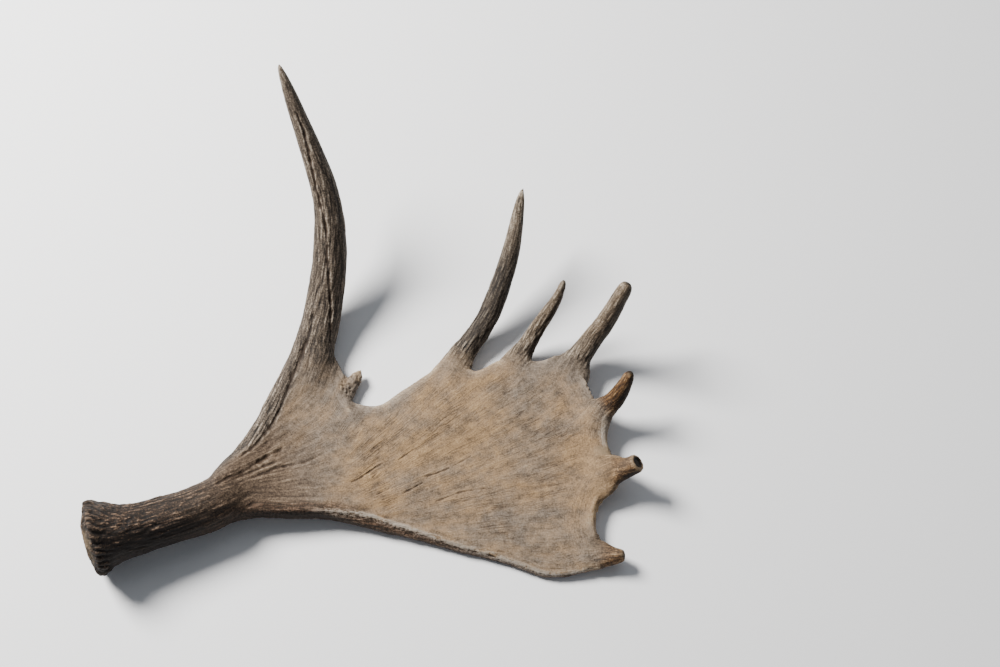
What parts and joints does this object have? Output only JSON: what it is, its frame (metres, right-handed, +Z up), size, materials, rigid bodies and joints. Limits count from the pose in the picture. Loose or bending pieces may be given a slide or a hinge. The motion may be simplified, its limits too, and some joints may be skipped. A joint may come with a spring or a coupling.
{
  "type": "moose antler",
  "caption": "Shed moose antler with a short furrowed beam and burr, a long curved brow tine and a broad palm edged with tines, lying on its back.",
  "frame": {"origin": "middle of the whole antler's outline in plan, at the surface it lies on", "axes": "+X from the burr towards the tined edge of the palm, +Y towards the tip of the brow tine, +Z up, out of the palm's hollow side"},
  "size_m": [0.5967, 0.526, 0.2045],
  "materials": {
    "beam": "dark brown furrowed antler with a knobby burr, semi-matt",
    "brow_tine": "grey-brown furrowed antler, smoother towards its tip",
    "tine_2": "tan-brown antler, faintly streaked along the tine, worn tip",
    "tine_3": "tan-brown antler, faintly streaked along the tine, worn tip",
    "tine_4": "tan-brown antler, faintly streaked along the tine, worn tip",
    "tine_5": "orange-brown streaked antler with a dark tip",
    "tine_6": "tan-brown antler, faintly streaked along the tine, worn tip",
    "tine_7": "tan-brown antler, faintly streaked along the tine, worn tip",
    "palm": "smooth tan antler with grey mottling, semi-matt"
  },
  "bodies": {
    "root": {"beam": "beam", "brow_tine": "brow_tine", "tine_2": "tine_2", "tine_3": "tine_3", "tine_4": "tine_4", "tine_5": "tine_5", "tine_6": "tine_6", "tine_7": "tine_7", "palm": "palm"}
  },
  "joints": []
}
